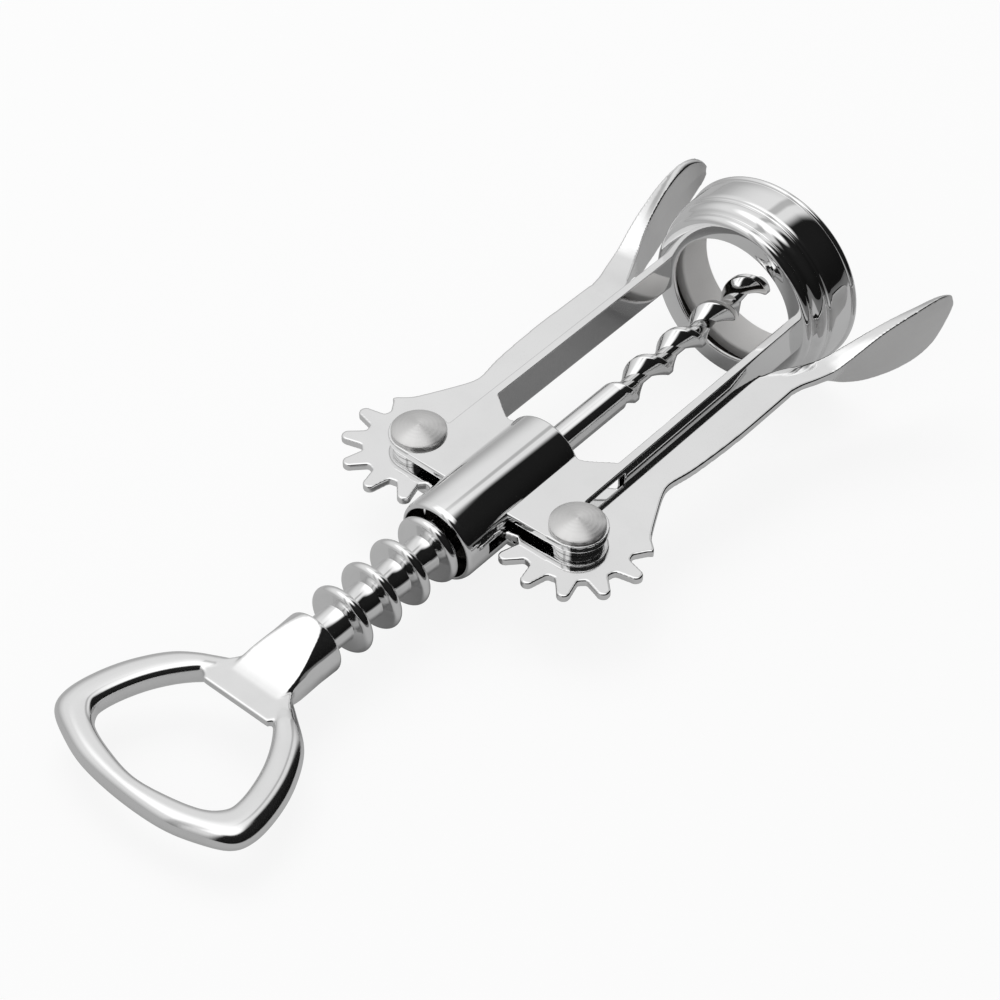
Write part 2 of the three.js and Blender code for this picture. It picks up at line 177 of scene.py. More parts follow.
class Tree:
    """Adds nodes to a material's or the world's node tree."""

    def __init__(self, owner):
        owner.use_nodes = True
        self.nodes = owner.node_tree.nodes
        self.links = owner.node_tree.links
        self.nodes.clear()

    def add(self, kind, settings=None, values=(), output=0):
        node = self.nodes.new(kind)
        for key, value in (settings or {}).items():
            setattr(node, key, value)
        pairs = values.items() if isinstance(values, dict) else enumerate(values)
        for key, value in pairs:
            if isinstance(value, Term):
                self.links.new(value.socket, node.inputs[key])
            else:
                node.inputs[key].default_value = value
        return Term(self, node.outputs[output]) if node.outputs else node

    def outputs(self, kind, names, values=()):
        """Several outputs of one node."""
        node = self.add(kind, None, values, names[0]).socket.node
        return [Term(self, node.outputs[name]) for name in names]

    def blend(self, mask, first, second):
        """A colour between two colours."""
        return self.add(
            "ShaderNodeMix",
            {"data_type": "RGBA"},
            {0: mask, 6: first, 7: second},
            2,
        )

    def noise(self, point, scale, detail=2, roughness=0.5):
        values = {"Vector": point, "Scale": scale, "Detail": detail, "Roughness": roughness}
        return self.add("ShaderNodeTexNoise", None, values)

    def place(self, turn=(0, 0, 0), stretch=(1, 1, 1), centre=(0, 0, 0)):
        """Object coordinates, moved, turned and stretched."""
        point = self.add("ShaderNodeTexCoord", None, (), "Object")
        settings = {"vector_type": "TEXTURE"}
        moved = self.add("ShaderNodeMapping", settings, {"Vector": point, "Location": centre})
        return self.add(
            "ShaderNodeMapping",
            {"vector_type": "POINT"},
            {"Vector": moved, "Rotation": turn, "Scale": stretch},
        )


def grey(value, warm=0.0):
    return (value + warm, value, value - warm, 1)


def finish_surface(tree, height, values):
    """Ends a material in one Principled surface with that relief."""
    relief = {"Strength": 1.0, "Distance": 1.0, "Height": height}
    bump = tree.add("ShaderNodeBump", None, relief)
    surface = tree.add("ShaderNodeBsdfPrincipled", None, {**values, "Normal": bump})
    tree.add("ShaderNodeOutputMaterial", None, {"Surface": surface})


def metal_material(name, light, dark, rough_low, rough_high, wave, brushed=None, satin=None):
    """Plated metal: faint waves in the plating, smudges that make it less glossy, and fine hairline
    scratches.
    """
    material = bpy.data.materials.new(name)
    tree = Tree(material)
    point = tree.place()
    smudge = tree.noise(point, 170, 4, 0.62).smooth(0.42, 0.72)
    haze = tree.noise(point, 38, 2)
    scratch_a = tree.noise(tree.place(turn=(0.3, 0.2, 0.7), stretch=(1, 34, 6)), 90, 2).smooth(0.66, 0.78)
    scratch_b = tree.noise(tree.place(turn=(0.1, 0.5, -0.9), stretch=(1, 30, 5)), 110, 2).smooth(0.68, 0.8)
    scratch = scratch_a * 0.6 + scratch_b * 0.4
    rough = rough_low + (rough_high - rough_low) * (smudge * 0.55 + haze * 0.3 + scratch * 0.5)
    colour = tree.blend(haze.smooth(0.3, 0.7) * 0.6 + smudge * 0.3, light, dark)
    height = tree.noise(point, 130, 1) * wave + scratch * 0.00000035
    if brushed:
        turn, stretch, depth = brushed
        hair = tree.noise(tree.place(turn=turn, stretch=stretch), 260, 3, 0.7)
        height = height + hair * depth
        rough = rough + (hair - 0.5) * 0.12
    # Where this mask is set, the finish turns semi-matt with the given colour. On the lever leaves that is a
    # real finish; in the barrel's bore and the collar's recess it is painted shade, near black.
    if satin:
        mask = tree.add("ShaderNodeAttribute", {"attribute_name": "satin"}, (), "Fac")
        grain = tree.noise(point, 2600, 2, 0.6)
        rough = rough + mask * (satin[0] + (grain - 0.5) * 0.1)
        colour = tree.blend(mask, colour, grey(satin[1], 0.003))
        height = height + mask * grain * satin[2]
    finish_surface(tree, height, {"Base Color": colour, "Roughness": rough, "Metallic": 1.0})
    return material


def spun_material(name, centre):
    """A rivet head finished on a lathe: fine rings about its own axis in semi-matt metal."""
    material = bpy.data.materials.new(name)
    tree = Tree(material)
    point = tree.place(centre=centre)
    x, y = tree.outputs("ShaderNodeSeparateXYZ", "XY", {"Vector": point})
    radius = (x * x + y * y) ** 0.5
    rings = (radius * 9000).sine()
    drift = tree.noise(point, 90, 2)
    height = rings * 0.000004
    rough = 0.3 + drift * 0.06
    colour = tree.blend(drift.smooth(0.3, 0.7), grey(0.78, 0.004), grey(0.7, 0.006))
    values = {"Base Color": colour, "Roughness": rough, "Metallic": 1.0}
    values.update({"Anisotropic": 0.85, "Anisotropic Rotation": 0.25})
    finish_surface(tree, height, values)
    return material


def liner_material(name):
    """The collar's matt grey sleeve, with a moulded grain."""
    material = bpy.data.materials.new(name)
    tree = Tree(material)
    point = tree.place()
    grain = tree.noise(point, 1800, 3, 0.6)
    haze = tree.noise(point, 120, 2)
    colour = tree.blend(haze * 0.7 + grain * 0.3, grey(0.68, 0.008), grey(0.58, 0.008))
    values = {"Base Color": colour, "Roughness": 0.3 + grain * 0.12, "Metallic": 0.0}
    finish_surface(tree, grain * 0.000012, values)
    return material


chrome = metal_material("polished_chrome", grey(0.93), grey(0.86), 0.02, 0.09, 0.0000035)
cast_chrome = metal_material("cast_chrome", grey(0.92), grey(0.84), 0.07, 0.16, 0.00001)
worm_chrome = metal_material("worm_chrome", grey(0.9), grey(0.8), 0.03, 0.12, 0.000006)
plate_chrome = metal_material("plate_chrome", grey(0.92), grey(0.86), 0.04, 0.12, 0.000003)
lever_chrome = metal_material(
    "lever_chrome", grey(0.92), grey(0.86), 0.04, 0.13, 0.000003, satin=(0.27, 0.76, 0.000004)
)
# Chrome with painted shade: where the recess mask is set, its colour drops to near black to stand in for
# shade.
shaded_chrome = metal_material(
    "shaded_chrome", grey(0.93), grey(0.86), 0.02, 0.09, 0.0000035, satin=(0.4, 0.03, 0.000002)
)
liner_grey = liner_material("liner_grey")
rivet_steel = {}
for side_name in ("right", "left"):
    low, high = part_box(side_name + "_rivet")
    rivet_steel[side_name] = spun_material("rivet_steel_" + side_name, (low + high) / 2)


# ---------------------------------------------------------------- shaping


def arc(cx, cy, r, start, end, steps=8):
    """Points on a circle's arc, angles in degrees."""
    out = []
    for i in range(steps + 1):
        a = math.radians(start + (end - start) * i / steps)
        out.append((cx + r * math.cos(a), cy + r * math.sin(a)))
    return out


def curve_through(points, steps, closed=False):
    """Points of a smooth curve through rows of numbers."""
    rows = [Vector(p) for p in points]
    n = len(rows)
    out = []
    for i in range(n if closed else n - 1):
        a, b, c, d = (
            rows[(i + k) % n] if closed else rows[min(max(i + k, 0), n - 1)] for k in (-1, 0, 1, 2)
        )
        for s in range(steps):
            t = s / steps
            out.append(
                0.5
                * (2 * b + (c - a) * t + (2 * a - 5 * b + 4 * c - d) * t * t + (3 * b - a - 3 * c + d) * t**3)
            )
    if not closed:
        out.append(rows[-1])
    return out


def flat_curve(points, steps):
    """The same for flat points, given and returned as pairs."""
    return [(p.x, p.y) for p in curve_through([(x, y, 0) for x, y in points], steps)]


def mirrored(bm, side):
    """The right side's drawing, turned over for the left."""
    if side < 0:
        bmesh.ops.scale(bm, verts=bm.verts, vec=(-1, 1, 1))
        bmesh.ops.reverse_faces(bm, faces=bm.faces)
    return bm


def on_pivot(bm, side, level=0):
    """A turned body stood on end at a lever's pivot."""
    quarter = Matrix.Rotation(math.pi / 2, 3, "X")
    bmesh.ops.rotate(bm, verts=bm.verts, cent=(0, 0, 0), matrix=quarter)
    bmesh.ops.translate(bm, verts=bm.verts, vec=(side * PIVOT_X, 0, level))
    return bm


def turned(profile, steps=128):
    """A body of revolution about Y from (radius, y) points."""
    bm = bmesh.new()
    verts = [bm.verts.new((r, y, 0)) for r, y in profile]
    edges = [bm.edges.new(pair) for pair in zip(verts, verts[1:])]
    bmesh.ops.spin(
        bm,
        geom=verts + edges,
        cent=(0, 0, 0),
        axis=(0, 1, 0),
        angle=2 * math.pi,
        steps=steps,
        use_merge=True,
    )
    bmesh.ops.remove_doubles(bm, verts=bm.verts, dist=0.0005)
    bmesh.ops.recalc_face_normals(bm, faces=bm.faces)
    return bm


def plate(outline, z0, z1, hole=None):
    """A flat sheet with that outline between two levels, with a round hole if one is given."""
    bm = bmesh.new()
    loops = [outline] + ([arc(*hole, 0, 360 * 39 / 40, 39)] if hole else [])
    edges = []
    for loop in loops:
        verts = [bm.verts.new((x, y, z0)) for x, y in loop]
        edges += [bm.edges.new((a, b)) for a, b in zip(verts, verts[1:] + verts[:1])]
    bmesh.ops.triangle_fill(bm, use_beauty=True, edges=edges)
    made = bmesh.ops.extrude_face_region(bm, geom=list(bm.faces))
    moved = [v for v in made["geom"] if isinstance(v, bmesh.types.BMVert)]
    bmesh.ops.translate(bm, verts=moved, vec=(0, 0, z1 - z0))
    bmesh.ops.recalc_face_normals(bm, faces=bm.faces)
    return bm


def loft(rings, closed=False):
    """A skin bridged over rings of points; its ends are capped unless it closes on itself."""
    bm = bmesh.new()
    loops = []
    for ring in rings:
        verts = [bm.verts.new(p) for p in ring]
        loops.append([bm.edges.new((a, b)) for a, b in zip(verts, verts[1:] + verts[:1])])
    pairs = zip(loops, loops[1:] + loops[:1]) if closed else zip(loops, loops[1:])
    for first, second in pairs:
        bmesh.ops.bridge_loops(bm, edges=first + second)
    if not closed:
        bmesh.ops.holes_fill(bm, edges=loops[0] + loops[-1], sides=len(rings[0]))
    bmesh.ops.recalc_face_normals(bm, faces=bm.faces)
    return bm


def mesh_object(bm, name):
    mesh = bpy.data.meshes.new(name)
    bm.to_mesh(mesh)
    bm.free()
    obj = bpy.data.objects.new(name, mesh)
    bpy.context.scene.collection.objects.link(obj)
    return obj


def bake(obj):
    """Applies an object's modifiers to its mesh."""
    bpy.context.view_layer.update()
    graph = bpy.context.evaluated_depsgraph_get()
    mesh = bpy.data.meshes.new_from_object(obj.evaluated_get(graph))
    old = obj.data
    obj.modifiers.clear()
    obj.data = mesh
    bpy.data.meshes.remove(old)


def cut(obj, bm, operation="DIFFERENCE"):
    """Cuts a shape out of an object, or keeps what both share."""
    tool = mesh_object(bm, "tool")
    modifier = obj.modifiers.new("cut", "BOOLEAN")
    modifier.operation = operation
    modifier.solver = "EXACT"
    modifier.object = tool
    bake(obj)
    bpy.data.objects.remove(tool)


def melt(parts, name, voxel, rounds):
    """One casting from overlapping shapes, with soft edges and filleted corners."""
    bm = bmesh.new()
    for part in parts:
        mesh = bpy.data.meshes.new("part")
        part.to_mesh(mesh)
        part.free()
        bm.from_mesh(mesh)
        bpy.data.meshes.remove(mesh)
    obj = mesh_object(bm, name)
    modifier = obj.modifiers.new("melt", "REMESH")
    modifier.mode = "VOXEL"
    modifier.voxel_size = voxel
    modifier.use_smooth_shade = True
    if rounds:
        modifier = obj.modifiers.new("soften", "SMOOTH")
        modifier.factor = 0.5
        modifier.iterations = rounds
    bake(obj)
    return obj


def paint_recess_shade(obj, inside):
    """Marks the points that lie in a recess, where the chrome's colour is darkened to near black as painted
    shade.
    """
    mask = obj.data.attributes.new("satin", "FLOAT", "POINT")
    for vertex, value in zip(obj.data.vertices, mask.data):
        value.value = 1.0 if inside(vertex.co) else 0.0


def finish_piece(shape, name, body, material, nodes=(), sharp=30, turn=0.0):
    """Puts a drawing in its place and makes it a piece that rides on a body."""
    obj = mesh_object(shape, name) if isinstance(shape, bmesh.types.BMesh) else shape
    obj.name = name
    obj.data.transform(PLACE @ Matrix.Rotation(turn, 4, "Y"))
    obj.data.shade_smooth()
    if sharp:
        obj.data.set_sharp_from_angle(angle=math.radians(sharp))
    obj.data.materials.clear()
    obj.data.materials.append(material)
    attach(obj, body)
    if nodes:
        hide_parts(*nodes)
    return obj


# ---------------------------------------------------------------- frame casting


def barrel():
    e = 0.55
    profile = (
        [(BORE_R, BARREL_Y0 + 0.25), (BORE_R + 0.05, BARREL_Y0 + 0.05)]
        + [(x, BARREL_Y0 + y) for x, y in flat_curve(((6.42, 0), (6.7, 0.14), (6.95, 0.5), (7.1, 1.2)), 5)]
        + arc(BARREL_R - e, BARREL_Y1 - e, e, 0, 90)
        + [(BORE_R + 0.2, BARREL_Y1), (BORE_R, BARREL_Y1 - 0.25), (BORE_R, BARREL_Y0 + 0.25)]
    )
    obj = mesh_object(turned(profile, 160), "barrel")
    reach = math.sqrt(GEAR_TIP_R**2 - (PIVOT_X - BARREL_R) ** 2) + 1.2
    bm = bmesh.new()
    for side in (-1, 1):
        box = bmesh.ops.create_cube(bm, size=1)["verts"]
        bmesh.ops.scale(bm, verts=box, vec=(6, 2 * reach, LEVER_T + 0.9))
        bmesh.ops.translate(bm, verts=box, vec=(side * BARREL_R, 0, 0))
    cut(obj, bm)
    # Painted shade: the inside of the bore is darkened.
    paint_recess_shade(obj, lambda p: math.hypot(p.x, p.z) < BORE_R + 0.04)
    finish_piece(obj, "barrel", "frame", shaded_chrome, ["frame_body"], 32)


def ear_outline():
    """One ear plate, right side: from the barrel round the rivet and back along the arm."""
    start = (BORE_R - 0.2, -5.19)
    dx, dy = start[0] - PIVOT_X, start[1]
    tangent = math.atan2(dy, dx) + math.acos(EAR_END_R / math.hypot(dx, dy))
    last = math.acos((ARM_X + ARM_T - PIVOT_X) / EAR_END_R)
    out = [start] + arc(PIVOT_X, 0, EAR_END_R, math.degrees(tangent), math.degrees(last), 40)
    out += [(ARM_X + ARM_T, 17), (ARM_X, 17), (ARM_X, 14.8)]
    out += flat_curve(((11, 13.9), (8.7, 12.2), (7.5, 11.6), (6.6, 11.6)), 4)
    return out + [(BORE_R - 0.2, 11.6)]


def side_casting(side, name):
    """Two ear plates and the arm between them and the collar."""
    outline = ear_outline()
    hole = (PIVOT_X, 0, 2.0)
    parts = [plate(outline, EAR_Z0, EAR_Z1, hole), plate(outline, -EAR_Z1, -EAR_Z0, hole)]
    out, end = ARM_X + ARM_T, COLLAR_Y0 + 0.3
    arm = [(ARM_X, 14.7), (out, 14.7), (out, end), (ARM_X, end)]
    parts.append(plate(arm, -EAR_Z1, EAR_Z1))
    obj = melt([mirrored(part, side) for part in parts], name, CASTING_VOXEL, 3)
    finish_piece(obj, name, "frame", plate_chrome, (), 0)


COLLAR_ROLLS = [
    (15.98, 1.4),
    (15.86, 1.75),
    (16.1, 2.05),
    (16.6, 2.5),
    (16.95, 3.2),
    (17.05, 3.95),
    (16.96, 4.55),
    (17.05, 4.85),
    (17.32, 5.1),
    (17.45, 5.5),
]


def collar():
    y = COLLAR_Y0
    profile = (
        [(HOLE_R, y + 0.32), (HOLE_R + 0.08, y + 0.1), (HOLE_R + 0.32, y), (14.6, y)]
        + arc(14.9, y + 1.1, 1.1, -82, 0, 10)
        + [(r, up + y) for r, up in flat_curve(COLLAR_ROLLS, 6)]
        + [(17.5, y + 5.9), (17.58, y + 8.6), (17.62, y + 10.3), (17.55, y + 10.55)]
        + arc(17.35, y + 11.1, 0.6, -60, 80, 10)
        + [(17.2, y + 11.7), (16.3, y + 11.7)]
        + arc(16.3, y + 11.3, 0.4, 90, 180, 4)[1:]
        + [(15.9, y + 4), (14.7, y + 3.8), (14.7, y + 1.5), (14.4, y + 1.25)]
        + [(13.0, y + 1.0), (12.6, y + 0.92)]
        + [(HOLE_R + 0.12, y + 0.8), (HOLE_R, y + 0.6), (HOLE_R, y + 0.32)]
    )
    obj = mesh_object(turned(profile, 220), "collar_ring")
    # Painted shade: the recess behind the collar's flange is darkened.
    paint_recess_shade(obj, lambda p: y + 0.95 < p.y < y + 4.1 and math.hypot(p.x, p.z) < 15)
    finish_piece(obj, "collar_ring", "frame", shaded_chrome, ["collar"], 34)


def collar_liner():
    y = COLLAR_Y0 + 4.05
    end = COLLAR_Y1 - 0.7
    profile = (
        arc(LINER_R + 0.4, y + 0.4, 0.4, 180, 270, 4)
        + [(15.75, y), (15.75, end), (LINER_R + 0.45, end)]
        + arc(LINER_R + 0.4, end - 0.4, 0.4, 90, 180, 4)[1:]
        + [(LINER_R, y + 0.4)]
    )
    bm = turned(profile, 180)
    finish_piece(bm, "liner_sleeve", "frame", liner_grey, ["collar_liner"], 40)


# ---------------------------------------------------------------- rack and worm

RING_Y0 = -(RINGS - 1.5) * RING_PITCH - 0.32


def rack():
    inner = SHANK_R + 0.12
    profile = [(inner, NECK_Y + 0.02), (CORE_R, NECK_Y + 0.02)]
    for i in range(RINGS):
        y = RING_Y0 + i * RING_PITCH
        side = [(CORE_R, 1.15), (CORE_R + 0.08, 1.0), (CORE_R + 0.3, 0.93), (4.9, 0.92)]
        profile += [(r, y - up) for r, up in side]
        profile += arc(RING_R - RING_ROUND, y, RING_ROUND, -80, 80, 14)
        profile += [(r, y + up) for r, up in reversed(side)]
    end = RING_Y0 + (RINGS - 1) * RING_PITCH + 2.6
    profile += [(CORE_R, end - 0.4), (CORE_R - 0.4, end), (inner, end), (inner, NECK_Y + 0.02)]
    finish_piece(turned(profile, 128), "rack_sleeve", "rack", chrome, ["rack"], 34)
    y = end + 0.1
    ring = [(inner, y), (CORE_R - 0.1, y), (CORE_R - 0.1, y + 1.6), (CORE_R - 0.5, y + 2)]
    ring += [(inner, y + 2), (inner, y)]
    bm = turned(ring, 64)
    finish_piece(bm, "press_ring", "spindle", chrome, ["retaining_ring"], 30)


def worm():
    """The shank and, by turning a section as it moves along, the thread with its narrow land."""
    columns, rows_a_turn = 64, 48
    turns = (WORM_Y1 - WORM_Y0) / WORM_PITCH
    rows = round(turns * rows_a_turn)
    bm = bmesh.new()
    ring = bmesh.ops.create_circle(bm, cap_ends=False, radius=1, segments=columns)["verts"]
    bmesh.ops.rotate(bm, verts=ring, cent=(0, 0, 0), matrix=Matrix.Rotation(math.pi / 2, 3, "X"))
    for v in ring:
        away = abs(math.atan2(v.co.z, v.co.x)) / (2 * math.pi) * WORM_PITCH
        f = min(max((away - 0.5) / 2.9, 0), 1)
        r = WORM_R + (WORM_CORE_R - WORM_R) * f * (1.25 - 0.25 * f)
        v.co = Vector((v.co.x, 0, v.co.z)) * r
    bmesh.ops.spin(
        bm,
        geom=list(bm.verts) + list(bm.edges),
        cent=(0, 0, 0),
        axis=(0, 1, 0),
        dvec=(0, (WORM_Y1 - WORM_Y0) / rows, 0),
        angle=2 * math.pi * turns,
        steps=rows,
    )
    for v in bm.verts:
        y = v.co.y
        r = math.hypot(v.co.x, v.co.z)
        start = min(max(y / 1.2, 0), 1)
        tail = min(max((WORM_Y1 - WORM_Y0 - y - 0.6) / 7, 0), 1)
        depth = (WORM_R - 0.45 - (WORM_CORE_R - 0.45) * tail) / (WORM_R - WORM_CORE_R)
        lean = WORM_R - (WORM_R - r) * depth
        wanted = SHANK_R + (lean - SHANK_R) * start
        v.co.x *= wanted / r
        v.co.z *= wanted / r
    bmesh.ops.translate(bm, verts=bm.verts, vec=(0, WORM_Y0, 0))
    border = [e for e in bm.edges if e.is_boundary]
    near = [e for e in border if e.verts[0].co.y < WORM_Y0 + 1]
    made = bmesh.ops.extrude_edge_only(bm, edges=near)["geom"]
    drawn = [v for v in made if isinstance(v, bmesh.types.BMVert)]
    bmesh.ops.translate(bm, verts=drawn, vec=(0, NECK_Y - 6 - WORM_Y0, 0))
    bmesh.ops.holes_fill(bm, edges=[e for e in bm.edges if e.is_boundary], sides=columns)
    bmesh.ops.recalc_face_normals(bm, faces=bm.faces)
    bmesh.ops.rotate(bm, verts=bm.verts, cent=(0, 0, 0), matrix=Matrix.Rotation(WORM_START, 3, "Y"))
    finish_piece(bm, "worm_screw", "spindle", worm_chrome, ["worm"], 24)


# ---------------------------------------------------------------- opener handle

# Half of the opener's loop: outer x and y, inner x and y.
LOOP = [
    (0, -80.3, 0, -76.8),
    (7.9, -79.8, 6.3, -75.8),
    (13.6, -78.2, 11.2, -74.2),
    (18.2, -75.9, 13.4, -72.1),
    (19.6, -72.6, 13.7, -70.0),
    (19.0, -67.6, 12.9, -66.5),
    (17.0, -62.2, 11.4, -62.8),
    (13.5, -57.0, 9.2, -59.3),
    (8.6, -53.5, 6.6, -56.5),
    (4.5, -51.2, 3.6, -54.8),
    (0, -50.6, 0, -54.4),
]


def opener_loop():
    whole = LOOP + [(-a, b, -c, d) for a, b, c, d in LOOP[-2:0:-1]]
    rings = []
    for ax, ay, bx, by in curve_through(whole, 8, True):
        ring = []
        mx, my = (ax + bx) / 2, (ay + by) / 2
        near_neck = min(max((8.6 - abs(mx)) / 3.4, 0), 1) * min(max((my + 60) / 4, 0), 1)
        high = LOOP_HALF_T + (LIP_TOP - 0.2 - LOOP_HALF_T) * near_neck
        for j in range(28):
            a = 2 * math.pi * j / 28
            c, s = math.cos(a), math.sin(a)
            across = abs(c) ** (0.95 if c > 0 else 0.62) * (1 if c > 0 else -1)
            up = abs(s) ** (0.95 if c > 0 else 0.72) * (1 if s > 0 else -1)
            ring.append((mx + (ax - bx) / 2 * across, my + (ay - by) / 2 * across, high * up))
        rings.append(ring)
    bm = loft(rings, True)
    lean = Matrix.Rotation(LOOP_LEAN, 3, "Z")
    bmesh.ops.rotate(bm, verts=bm.verts, cent=(0, LEAN_Y, 0), matrix=lean)
    return bm


def neck():
    y = NECK_Y
    boss = [(0, -54), (5.0, -54), (5.3, -50), (5.2, -45)] + arc(4.9, y - 0.4, 0.4, 0, 90, 5) + [(0, y)]
    obj = mesh_object(turned(boss, 96), "neck")
    slope = [(-57, 1.55), (-54, 1.72), (-52, 1.98), (-50, 2.45), (-48, 3.05)]
    slope += [(-46, 3.72), (-43, 4.65), (-41.6, 5.2), (-40, 6.2)]
    upper = flat_curve(slope, 6)
    outline = upper + [(x, -y) for x, y in reversed(upper)]
    bm = plate(outline, -8, 8)
    bm.transform(Matrix(((0, 0, 1, 0), (1, 0, 0, 0), (0, 1, 0, 0), (0, 0, 0, 1))))
    bmesh.ops.recalc_face_normals(bm, faces=bm.faces)
    cut(obj, bm, "INTERSECT")
    bm = bmesh.new()
    bm.from_mesh(obj.data)
    bpy.data.objects.remove(obj)
    return bm


def handle():
    lip = [(-7.9, -56.8), (-6.9, -57.1), (-6.35, -57.9), (6.35, -57.9), (6.9, -57.1), (7.9, -56.8)]
    lip += [(7.3, -54.2), (5.2, -51.2), (5, -47), (-5, -47), (-5.2, -51.2), (-7.3, -54.2)]
    parts = [opener_loop(), plate(lip, LIP_TOP - LIP_T, LIP_TOP), neck()]
    obj = melt(parts, "opener_handle", CASTING_VOXEL, 9)
    finish_piece(obj, "opener_handle", "spindle", cast_chrome, ["handle"], 0, HANDLE_SPIN)


# ---------------------------------------------------------------- levers, rivets, washers

# Sections of the right finger leaf: y, outer x and z, inner x and z, back inner x, back outer x, back z.
LEAF = [
    [47.6, 20.4, 0.7, 14.3, 0.7, 14.3, 20.4, -0.7],
    [51, 21.0, 0.65, 15.4, 0.7, 15.5, 20.9, -0.8],
    [54, 22.1, 0.6, 17.1, 0.5, 17.2, 21.7, -1.2],
    [57, 23.15, 0.7, 18.8, 0.5, 18.5, 21.8, -2.3],
    [59.5, 23.9, 1.35, 20.1, 1.05, 19.5, 21.4, -4.2],
    [62, 24.6, 2.3, 21.3, 2.0, 20.9, 22.3, -5.6],
    [65, 25.35, 3.35, 22.6, 3.0, 22.4, 23.8, -6.4],
    [68, 26.05, 4.1, 23.7, 3.7, 23.6, 24.95, -6.85],
    [71, 26.8, 4.6, 24.75, 4.2, 24.8, 26.0, -7.0],
    [74, 27.45, 4.85, 25.7, 4.4, 25.8, 26.9, -6.9],
    [77, 27.95, 4.95, 26.5, 4.4, 26.6, 27.6, -6.5],
    [80, 28.3, 4.7, 27.1, 4.1, 27.1, 28.05, -5.5],
    [82.5, 28.35, 3.8, 27.35, 3.2, 27.3, 28.1, -3.9],
    [84.3, 28.1, 2.4, 27.3, 2.0, 27.25, 27.9, -2.3],
    [85.25, 27.75, 0.9, 27.3, 0.7, 27.3, 27.65, -0.9],
]


def leaf(longer):
    """The finger leaf of the right lever, leaning inwards a little more the longer it is."""
    rings = []
    rows = curve_through(LEAF, 6)
    for i, (y, ox, oz, ix, iz, bi, bo, bz) in enumerate(rows):
        swell = min(1, i / 30) * 0.46
        along = max(0, y - 50)
        lean = (LEAF_LEAN + 0.01 * longer) * along
        ox, ix, bi, bo = ox - lean, ix - lean, bi - lean, bo - lean
        y += longer * along / 35
        rings.append(
            [
                (ox, y, oz),
                ((ox * 3 + bo) / 4 + swell * 0.75, y, (oz * 3 + bz) / 4),
                ((ox + bo) / 2 + swell, y, (oz + bz) / 2),
                ((ox + bo * 3) / 4 + swell * 0.75, y, (oz + bz * 3) / 4),
                (bo, y, bz + 0.15),
                ((bi + bo) / 2, y, bz),
                (bi, y, bz + 0.15),
                ((ix + bi) / 2 + swell * 0.3, y, (iz + bz) / 2),
                (ix, y, iz),
                ((ix + ox) / 2, y, (iz + oz) / 2 + 0.05),
            ]
        )
    return loft(rings)


def lever_outline(inward):
    """Gear end and flat arm of the right lever; its inner edge closes in on the frame's arm."""
    out = [(10.7, 5.4), (10.1, 4.95), (8.75, 2.85)]
    half, tip = 0.19, 1.12
    for i in range(7):
        a = -i * 2 * math.pi / TEETH
        out.append((GEAR_ROOT_R * math.cos(a + half), GEAR_ROOT_R * math.sin(a + half)))
        for u, s in arc(GEAR_TIP_R - tip, 0, tip, 90, -90, 12):
            out.append((u * math.cos(a) - s * math.sin(a), u * math.sin(a) + s * math.cos(a)))
        out.append((GEAR_ROOT_R * math.cos(a - half), GEAR_ROOT_R * math.sin(a - half)))
    inner = ARM_X + ARM_T + LEVER_GAP - PIVOT_X
    back = math.acos(-inner / GEAR_ROOT_R) - 0.14
    out += arc(0, 0, GEAR_ROOT_R, math.degrees(-math.pi - 0.28), math.degrees(-math.pi - back), 10)
    out += [(inner - 10 * inward, GEAR_ROOT_R + 0.4), (inner - 43 * inward, 43)]
    out += [(inner, 48.5), (4.5, 48.5)]
    side = [(4.5, 48), (4.6, 41), (4.6, 33), (4.1, 24), (3.4, 19.5), (3.4, 17.7)]
    side += [(4.1, 15.7), (5.8, 12.35), (7.5, 9.2), (8.6, 7.5), (10.2, 6.1)]
    out += flat_curve(side, 4)
    return [(x + PIVOT_X, y) for x, y in out]


def lever(side, name):
    inward = max(0, -side * LEVER_TURN[name])
    arm = plate(lever_outline(inward), -LEVER_T / 2, LEVER_T / 2, (PIVOT_X, 0, 2.05))
    parts = [mirrored(part, side) for part in (arm, leaf(LEAF_LONGER[name]))]
    turn = Matrix.Rotation(LEVER_TURN[name], 3, "Z")
    for part in parts:
        bmesh.ops.rotate(part, verts=part.verts, cent=(side * PIVOT_X, 0, 0), matrix=turn)
    obj = melt(parts, name, LEVER_VOXEL, 6)
    mesh = obj.data
    mask = mesh.attributes.new("satin", "FLOAT", "POINT")
    for vertex, value in zip(mesh.vertices, mask.data):
        lying = max(0, min(1, (abs(vertex.normal.z) - 0.45) / 0.3))
        along = max(0, min(1, (vertex.co.y - 56) / 4))
        value.value = (1 - lying) * along
    body = name + "_lever"
    finish_piece(obj, body + "_arm", body, lever_chrome, [body], 0)


def rivet(side, name):
    r, top, z = RIVET_HEAD_R, RIVET_TOP, EAR_Z1
    dome = [(r - 0.05, z + 0.62), (r - 0.5, z + 0.86), (r - 1.6, z + 1.22)]
    dome += [(1.4, z + 1.52), (0, top)]
    profile = [(1.9, 0), (1.9, z), (r - 0.1, z), (r, z + 0.1), (r, z + 0.45)]
    profile += flat_curve(dome, 6)
    bm = on_pivot(turned([(a, -b) for a, b in reversed(profile[1:])] + profile, 128), side)
    material = rivet_steel[name]
    finish_piece(bm, name + "_rivet_pin", "frame", material, [name + "_rivet"], 40)
    front = LEVER_T / 2 + 0.05
    for level, face in ((front, "_front_washer"), (-front - WASHER_T, "_back_washer")):
        q, w, t = 2.05, RIVET_HEAD_R - 0.2, WASHER_T
        ring = [(q, 0), (w - 0.1, 0), (w, 0.1), (w, t - 0.1), (w - 0.1, t), (q, t), (q, 0)]
        bm = on_pivot(turned(ring, 72), side, level)
        finish_piece(bm, name + face + "_disc", "frame", plate_chrome, [name + face], 30)


barrel()
side_casting(1, "right_ears_and_arm")
side_casting(-1, "left_ears_and_arm")
collar()
collar_liner()
rack()
worm()
handle()
for side, name in ((1, "right"), (-1, "left")):
    lever(side, name)
    rivet(side, name)

